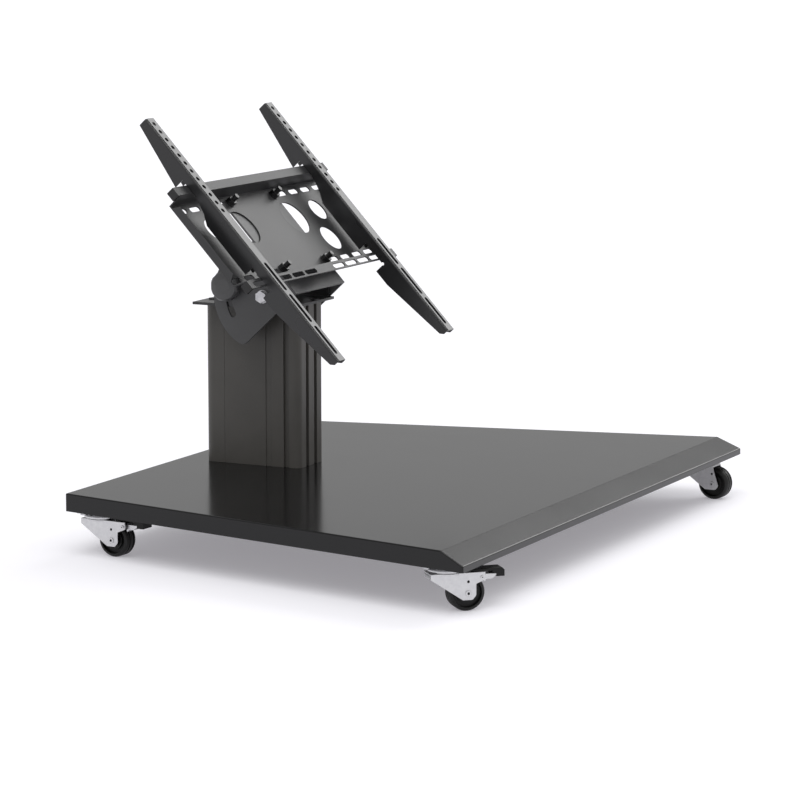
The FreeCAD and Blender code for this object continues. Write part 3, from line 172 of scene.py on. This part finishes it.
def powder_coat(name, colour, grain, edge, roughness, spread, bump, ior=1.5):
    """Baked polyester powder: melted grains leave a fine orange peel, faint clouds and rounded edges."""
    finish, tree, shader = new_finish(name)
    place = add_node(tree, "ShaderNodeTexCoord", (-1100, 0))
    peel = add_node(tree, "ShaderNodeTexNoise", (-900, -200), [("Vector", place.outputs["Object"])],
                    Scale=1 / grain, Detail=2.0, Roughness=0.5)
    cloud = add_node(tree, "ShaderNodeTexNoise", (-900, 200), [("Vector", place.outputs["Object"])],
                     Scale=1 / CLOUD_WIDE, Detail=3.0, Roughness=0.55)
    tone = add_node(tree, "ShaderNodeValToRGB", (-600, 450), [("Fac", cloud.outputs["Fac"])])
    for stop, along, level in zip(tone.color_ramp.elements, TONE_STOPS, COAT_LEVELS):
        stop.position = along
        stop.color = shaded(colour, level)
    gloss = add_node(tree, "ShaderNodeMapRange", (-600, 200), [("Value", cloud.outputs["Fac"])])
    gloss.inputs["To Min"].default_value = roughness - spread
    gloss.inputs["To Max"].default_value = roughness + spread
    rounding = add_node(tree, "ShaderNodeBevel", (-900, -450), samples=BEVEL_RAYS, Radius=edge)
    relief = add_node(tree, "ShaderNodeBump", (-300, -250),
                      [("Height", peel.outputs["Fac"]), ("Normal", rounding.outputs["Normal"])],
                      Strength=bump, Distance=grain * RELIEF_SHARE)
    tree.links.new(tone.outputs["Color"], shader.inputs["Base Color"])
    tree.links.new(gloss.outputs["Result"], shader.inputs["Roughness"])
    tree.links.new(relief.outputs["Normal"], shader.inputs["Normal"])
    shader.inputs["IOR"].default_value = ior
    return finish


def zinc_plate(name, colour, shade, edge, roughness):
    """Bright zinc plating on stamped steel: a clear silver with faint cloudy streaks left by the bath."""
    finish, tree, shader = new_finish(name)
    place = add_node(tree, "ShaderNodeTexCoord", (-1100, 0))
    streak = add_node(tree, "ShaderNodeTexNoise", (-900, 200), [("Vector", place.outputs["Object"])],
                      Scale=1 / STREAK_WIDE, Detail=4.0, Roughness=0.6)
    gloss = add_node(tree, "ShaderNodeMapRange", (-600, 200), [("Value", streak.outputs["Fac"])])
    gloss.inputs["To Min"].default_value = roughness - ZINC_GLOSSIER
    gloss.inputs["To Max"].default_value = roughness + ZINC_DULLER
    tone = add_node(tree, "ShaderNodeValToRGB", (-600, 450), [("Fac", streak.outputs["Fac"])])
    for stop, along, plating in zip(tone.color_ramp.elements, TONE_STOPS, (shade, colour)):
        stop.position = along
        stop.color = linear(plating)
    rounding = add_node(tree, "ShaderNodeBevel", (-600, -300), samples=BEVEL_RAYS, Radius=edge)
    tree.links.new(tone.outputs["Color"], shader.inputs["Base Color"])
    tree.links.new(gloss.outputs["Result"], shader.inputs["Roughness"])
    tree.links.new(rounding.outputs["Normal"], shader.inputs["Normal"])
    shader.inputs["Metallic"].default_value = 1.0
    return finish


def moulded_plastic(name, colour, grain, edge, roughness, sheen=0.5):
    """Injection-moulded plastic: a spark-eroded mould leaves a fine even grain and soft corners."""
    finish, tree, shader = new_finish(name)
    place = add_node(tree, "ShaderNodeTexCoord", (-1100, 0))
    texture = add_node(tree, "ShaderNodeTexNoise", (-900, -200), [("Vector", place.outputs["Object"])],
                       Scale=1 / grain, Detail=3.0, Roughness=0.6)
    tone = add_node(tree, "ShaderNodeValToRGB", (-600, 450), [("Fac", texture.outputs["Fac"])])
    for stop, along, level in zip(tone.color_ramp.elements, TONE_STOPS, MOULD_LEVELS):
        stop.position = along
        stop.color = shaded(colour, level)
    gloss = add_node(tree, "ShaderNodeMapRange", (-600, 200), [("Value", texture.outputs["Fac"])])
    gloss.inputs["To Min"].default_value = roughness - MOULD_SPREAD
    gloss.inputs["To Max"].default_value = roughness + MOULD_SPREAD
    rounding = add_node(tree, "ShaderNodeBevel", (-600, -450), samples=BEVEL_RAYS, Radius=edge)
    relief = add_node(tree, "ShaderNodeBump", (-300, -250),
                      [("Height", texture.outputs["Fac"]), ("Normal", rounding.outputs["Normal"])],
                      Strength=MOULD_BUMP, Distance=grain * RELIEF_SHARE)
    tree.links.new(tone.outputs["Color"], shader.inputs["Base Color"])
    tree.links.new(gloss.outputs["Result"], shader.inputs["Roughness"])
    tree.links.new(relief.outputs["Normal"], shader.inputs["Normal"])
    shader.inputs["IOR"].default_value = PLASTIC_IOR
    shader.inputs["Specular IOR Level"].default_value = sheen
    return finish


def dress(pieces, finish):
    """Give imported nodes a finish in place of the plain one."""
    for piece in pieces:
        piece.data.materials.clear()
        piece.data.materials.append(finish)


class FinishTray(bpy.types.Operator):
    """Coat the tray and the steel inside it."""
    bl_idname = "stand.finish_tray"
    bl_label = "Finish tray"

    def execute(self, context):
        look = context.scene.stand_finish
        gloss = powder_coat("gloss_powder_coat", look.tray_colour, look.grain * 2, look.edge_round / 2,
                            roughness=0.16, spread=0.02, bump=0.02, ior=1.37)
        dress(nodes_named("base_tray", "front_rib", "rear_rib", "column_backing_plate"), gloss)
        return {"FINISHED"}


class FinishColumn(bpy.types.Operator):
    """Coat the extruded column."""
    bl_idname = "stand.finish_column"
    bl_label = "Finish column"

    def execute(self, context):
        look = context.scene.stand_finish
        satin = powder_coat("satin_column_coat", look.column_colour, look.grain, look.edge_round,
                            roughness=0.42, spread=0.03, bump=0.1, ior=1.42)
        dress([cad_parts["column"]], satin)
        return {"FINISHED"}


class FinishHead(bpy.types.Operator):
    """Coat the brackets, the wall plate and the rails, with painted light on the tilt bracket and painted
    shade on the rails and top bracket.
    """
    bl_idname = "stand.finish_head"
    bl_label = "Finish head"

    def execute(self, context):
        look = context.scene.stand_finish
        textured = powder_coat("textured_powder_coat", look.head_colour, look.grain, look.edge_round,
                               roughness=0.46, spread=0.03, bump=0.35)
        dress(nodes_named("wall_plate"), textured)
        # The head's textured coat in a lighter colour: painted light on the tilt bracket.
        bracket = powder_coat("bracket_coat_painted_light", look.lit_bracket_colour, look.grain, look.edge_round,
                              roughness=0.46, spread=0.03, bump=0.35)
        dress(nodes_named("tilt_bracket"), bracket)
        # The head's textured coat in a darker colour: painted shade on the rails and the top bracket.
        rails = powder_coat("rail_coat_painted_shade", look.shaded_rail_colour, look.grain, look.edge_round,
                            roughness=0.28, spread=0.03, bump=0.3)
        dress(nodes_named("rail_", "top_bracket"), rails)
        black = moulded_plastic("moulded_polypropylene", look.cap_colour, look.grain, look.edge_round,
                                roughness=0.45)
        dress(nodes_named("bar_end_caps"), black)
        return {"FINISHED"}


class FinishFasteners(bpy.types.Operator):
    """Plate or blacken the bolts, nuts, washers and screws."""
    bl_idname = "stand.finish_fasteners"
    bl_label = "Finish fasteners"

    def execute(self, context):
        look = context.scene.stand_finish
        bright = zinc_plate("zinc_plated_bolt", look.zinc_shade, look.bolt_shade, look.edge_round / 2,
                            roughness=0.3)
        dress(nodes_named("pivot_", "caster_screws", "caster_nuts", "foot_screws"), bright)
        # Black oxide is a thin skin on the steel: near black, with a dull sheen and no clear reflection.
        oxide = powder_coat("black_oxide_steel", look.oxide_colour, look.grain / 2, look.edge_round / 2,
                            roughness=0.35, spread=0.05, bump=0.1)
        dress(nodes_named("head_screws", "lock_", "plate_bolts", "plate_washers", "plate_nuts"), oxide)
        return {"FINISHED"}


class FinishKnobs(bpy.types.Operator):
    """Give the clamping knobs their moulded finish."""
    bl_idname = "stand.finish_knobs"
    bl_label = "Finish knobs"

    def execute(self, context):
        look = context.scene.stand_finish
        satin = moulded_plastic("moulded_nylon", look.knob_colour, look.grain, look.edge_round * 2,
                                roughness=0.4)
        dress(nodes_named("knob_"), satin)
        return {"FINISHED"}


class FinishCasters(bpy.types.Operator):
    """Plate the forks and plates, and finish wheels, tyres and brake levers."""
    bl_idname = "stand.finish_casters"
    bl_label = "Finish casters"

    def execute(self, context):
        look = context.scene.stand_finish
        zinc = zinc_plate("zinc_plated_steel", look.zinc_colour, look.zinc_shade, look.edge_round,
                          roughness=0.33)
        dress(nodes_named("fork_", "caster_plate_", "brake_lever_", "pins_", "race_"), zinc)
        core = moulded_plastic("moulded_wheel_nylon", look.wheel_colour, look.grain, look.edge_round,
                               roughness=0.4, sheen=0.3)
        dress(nodes_named("wheel_core_", "lever_cap_"), core)
        # Rubber treads come from a mould as well, a little duller and softer at the edges than the nylon.
        rubber = moulded_plastic("moulded_rubber", look.tyre_colour, look.grain, look.edge_round * 2,
                                 roughness=0.5, sheen=0.4)
        dress(nodes_named("tyre_"), rubber)
        return {"FINISHED"}


class SetStage(bpy.types.Operator):
    """Lay the pale floor, light it softly and set the camera."""
    bl_idname = "stand.set_stage"
    bl_label = "Set stage"

    def execute(self, context):
        stage = context.scene.stand_stage
        set_camera(stage)
        set_floor(stage)
        set_lights(stage)
        context.scene.view_settings.view_transform = "Standard"
        return {"FINISHED"}


def set_camera(stage):
    """Stand the camera where the photograph was taken from."""
    lens = bpy.data.cameras.new("camera")
    lens.sensor_width = SENSOR_WIDE
    lens.lens = stage.camera_lens
    lens.clip_end = FAR_CLIP
    camera = bpy.data.objects.new("camera", lens)
    camera.location = stage.camera_place
    camera.rotation_euler = Euler((math.pi / 2 - stage.camera_drop, 0, -stage.camera_heading))
    bpy.context.scene.collection.objects.link(camera)
    bpy.context.scene.camera = camera


def set_floor(stage):
    """Lay a wide pale floor that keeps the stand's shadow."""
    sheet = bpy.data.meshes.new("floor")
    corners = [(x * FLOOR_HALF, y * FLOOR_HALF, 0) for x, y in ((-1, -1), (1, -1), (1, 1), (-1, 1))]
    sheet.from_pydata(corners, [], [(0, 1, 2, 3)])
    floor = bpy.data.objects.new("floor", sheet)
    bpy.context.scene.collection.objects.link(floor)
    finish, tree, shader = new_finish("painted_floor")
    shader.inputs["Base Color"].default_value = linear(stage.floor_colour)
    shader.inputs["Roughness"].default_value = FLOOR_ROUGHNESS
    shader.inputs["Specular IOR Level"].default_value = 0.0
    # What looks at the floor also sees a faint glow, so its shadows stay pale, and no light is added.
    rays = add_node(tree, "ShaderNodeLightPath", (-900, -300))
    glossy = add_node(tree, "ShaderNodeMath", (-600, -300), operation="ADD", use_clamp=True)
    tree.links.new(rays.outputs["Is Camera Ray"], glossy.inputs[0])
    tree.links.new(rays.outputs["Is Glossy Ray"], glossy.inputs[1])
    seen = add_node(tree, "ShaderNodeMath", (-400, -300), operation="ADD", use_clamp=True)
    tree.links.new(glossy.outputs["Value"], seen.inputs[0])
    tree.links.new(rays.outputs["Is Transmission Ray"], seen.inputs[1])
    level = add_node(tree, "ShaderNodeMath", (-200, -300), operation="MULTIPLY")
    tree.links.new(seen.outputs["Value"], level.inputs[0])
    level.inputs[1].default_value = stage.floor_glow
    tree.links.new(level.outputs["Value"], shader.inputs["Emission Strength"])
    shader.inputs["Emission Color"].default_value = linear(stage.shadow_tint)
    floor.data.materials.append(finish)


def set_lights(stage):
    """Fill the room with even light and add the soft suns."""
    world = bpy.data.worlds.new("room")
    world.use_nodes = True
    world.node_tree.nodes["Background"].inputs["Color"].default_value = (1, 1, 1, 1)
    world.node_tree.nodes["Background"].inputs["Strength"].default_value = stage.world_level
    bpy.context.scene.world = world
    for name, heading, height, strength, spread in SUNS:
        lamp = bpy.data.lights.new(name, "SUN")
        lamp.energy = strength
        lamp.angle = math.radians(spread)
        sun = bpy.data.objects.new(name, lamp)
        turn = math.radians(heading)
        rise = math.radians(height)
        toward = Vector((math.sin(turn) * math.cos(rise), math.cos(turn) * math.cos(rise), math.sin(rise)))
        sun.rotation_euler = toward.to_track_quat("Z", "Y").to_euler()
        bpy.context.scene.collection.objects.link(sun)


class StandPanel(bpy.types.Panel):
    """The stand's steps and settings in the 3D view's sidebar."""
    bl_idname = "VIEW3D_PT_stand"
    bl_label = "Monitor Stand"
    bl_space_type = "VIEW_3D"
    bl_region_type = "UI"
    bl_category = "Stand"

    def draw(self, context):
        for step in STEPS:
            self.layout.operator(step.bl_idname)
        for settings in (context.scene.stand_finish, context.scene.stand_stage):
            for name in settings.__annotations__:
                self.layout.prop(settings, name)


STEPS = (SetStage, FinishTray, FinishColumn, FinishHead, FinishFasteners, FinishKnobs, FinishCasters)
CLASSES = (StandFinish, StandStage) + STEPS + (StandPanel,)


def register():
    for each in CLASSES:
        bpy.utils.register_class(each)
    bpy.types.Scene.stand_finish = bpy.props.PointerProperty(type=StandFinish)
    bpy.types.Scene.stand_stage = bpy.props.PointerProperty(type=StandStage)


def unregister():
    del bpy.types.Scene.stand_stage
    del bpy.types.Scene.stand_finish
    for each in reversed(CLASSES):
        bpy.utils.unregister_class(each)


def main():
    """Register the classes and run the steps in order."""
    register()
    for step in STEPS:
        group, name = step.bl_idname.split(".")
        getattr(getattr(bpy.ops, group), name)()


if __name__ == "__main__":
    main()
